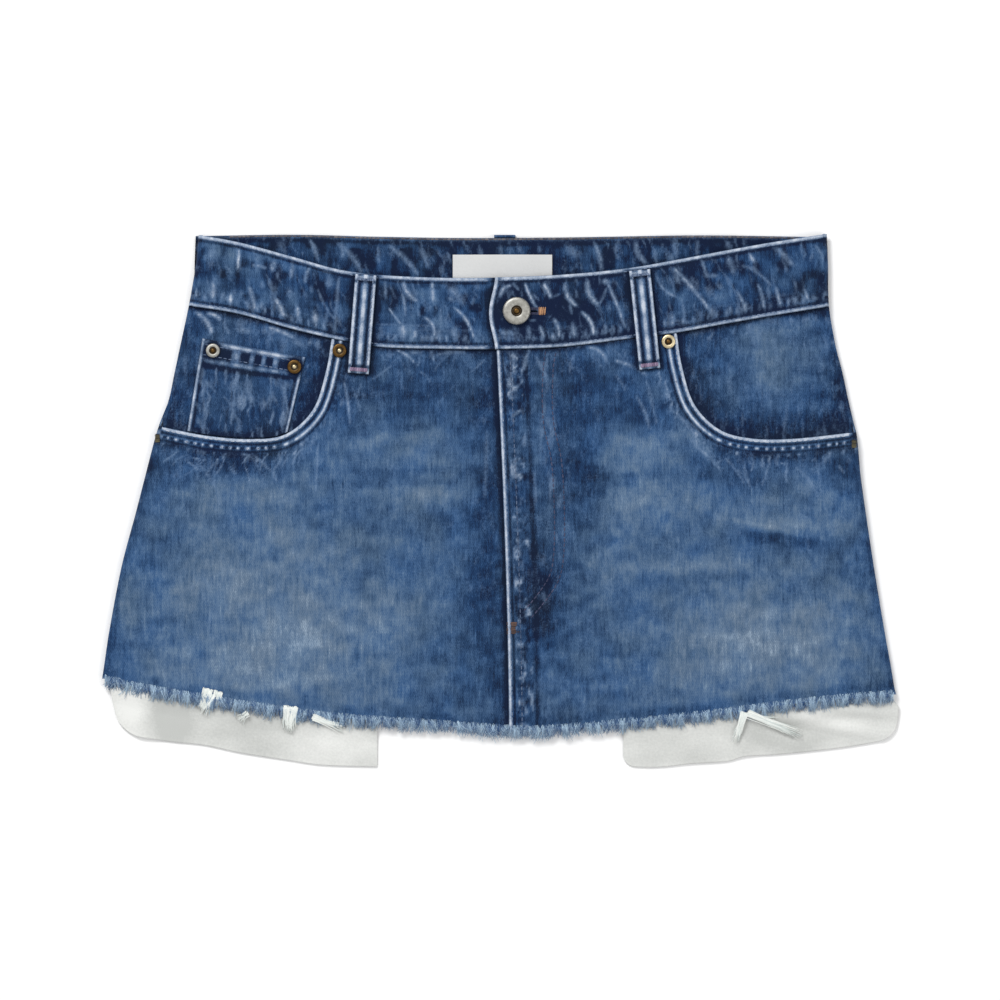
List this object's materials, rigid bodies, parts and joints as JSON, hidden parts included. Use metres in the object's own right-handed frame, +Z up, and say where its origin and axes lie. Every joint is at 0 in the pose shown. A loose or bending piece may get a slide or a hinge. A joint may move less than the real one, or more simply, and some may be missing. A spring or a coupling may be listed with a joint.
{
  "type": "denim skirt",
  "caption": "Short denim skirt cut like five-pocket jeans, laid flat: raw frayed hem, scoop front pockets with long white pocket bags showing below it, zip fly with button.",
  "frame": {"origin": "under the middle of the laid-out skirt's box, on the surface that it lies on", "axes": "+X to the wearer's left, which is the right of the picture; +Y from the hem to the waist; +Z up, out of the skirt's front"},
  "size_m": [0.4946, 0.331, 0.0134],
  "materials": {
    "denim": "washed cotton twill, mid blue",
    "denim_unfaded": "cotton twill, less faded",
    "bag_cotton": "plain white cotton pocketing",
    "frayed_yarn": "loose pale blue yarn ends",
    "zip_tape": "woven tape",
    "label_tape": "woven off-white tape, blank",
    "button_metal": "worn nickel with brass showing",
    "rivet_brass": "worn antique brass"
  },
  "bodies": {
    "root": {"front_panel_right": "denim", "front_panel_left": "denim", "back_panel_right": "denim", "back_panel_left": "denim", "waistband_front_right": "denim", "waistband_front_left": "denim", "waistband_back": "denim", "belt_loop_front_right": "denim", "belt_loop_front_left": "denim", "belt_loop_back_right": "denim", "belt_loop_back_centre": "denim", "belt_loop_back_left": "denim", "pocket_facing_right": "denim_unfaded", "pocket_facing_left": "denim_unfaded", "coin_pocket": "denim_unfaded", "pocket_bag_right": "bag_cotton", "pocket_bag_left": "bag_cotton", "fringe_front": "frayed_yarn", "fringe_back": "frayed_yarn", "fly_zip": "zip_tape", "label": "label_tape", "button": "button_metal", "rivet_coin_outer": "button_metal", "rivet_coin_inner": "rivet_brass", "rivet_mouth_right": "rivet_brass", "rivet_mouth_left": "rivet_brass"}
  },
  "joints": []
}
